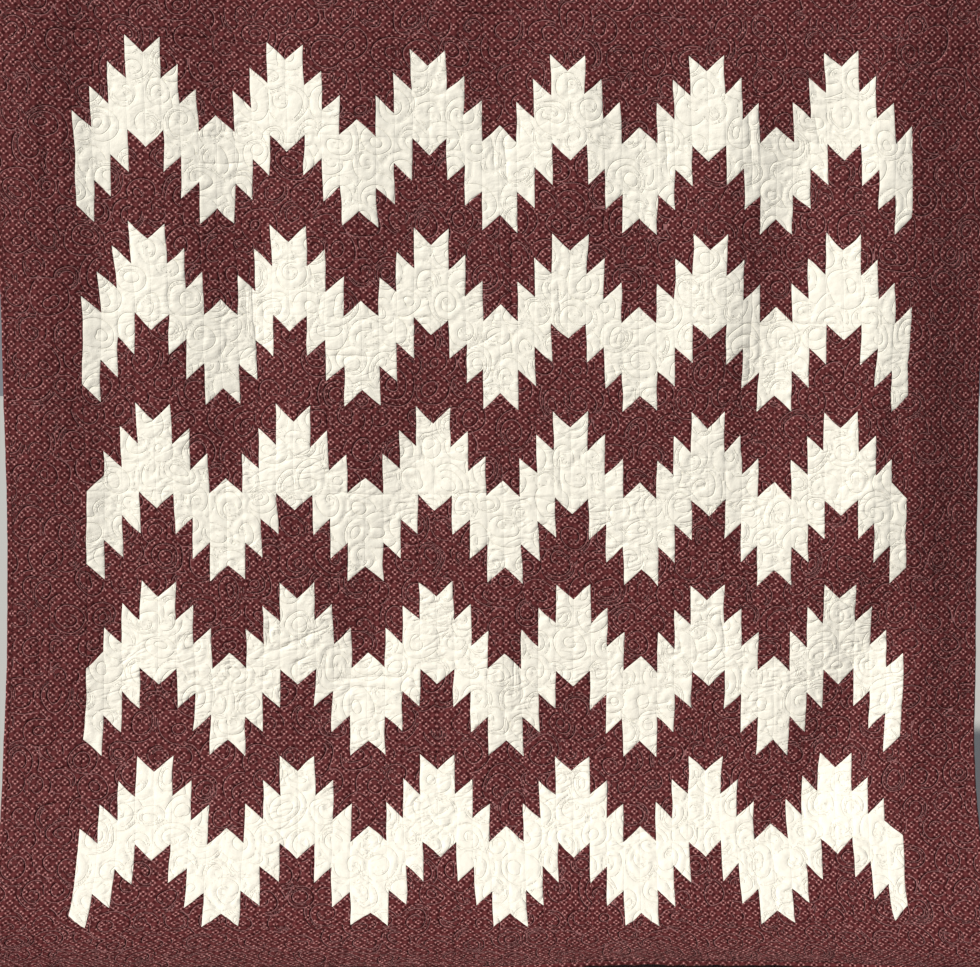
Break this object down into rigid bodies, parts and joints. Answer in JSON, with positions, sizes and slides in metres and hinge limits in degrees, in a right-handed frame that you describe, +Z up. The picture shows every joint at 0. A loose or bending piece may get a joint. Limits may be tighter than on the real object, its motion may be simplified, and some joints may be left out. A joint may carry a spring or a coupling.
{
  "type": "quilt",
  "caption": "Sawtooth zigzag quilt in two colours with wide printed borders and a bound edge, hanging by its top edge with its lower end swept forward on the ground.",
  "frame": {"origin": "middle of the quilt's top edge, where it is held up", "axes": "+Z up the hanging cloth, +X to the right of the printed face as a viewer sees it, -Y out of the printed face towards the viewer"},
  "size_m": [1.465, 0.3065, 1.4346],
  "materials": {
    "cream_patchwork": "quilted plain cream cotton pieced with wine printed cotton",
    "wine_print": "quilted wine cotton with a small printed dot motif",
    "binding_print": "folded wine printed cotton binding"
  },
  "bodies": {
    "root": {"patchwork_centre": "cream_patchwork", "border_top": "wine_print", "border_bottom": "wine_print", "border_left": "wine_print", "border_right": "wine_print", "binding_top": "binding_print", "binding_bottom": "binding_print", "binding_left": "binding_print", "binding_right": "binding_print"}
  },
  "joints": []
}
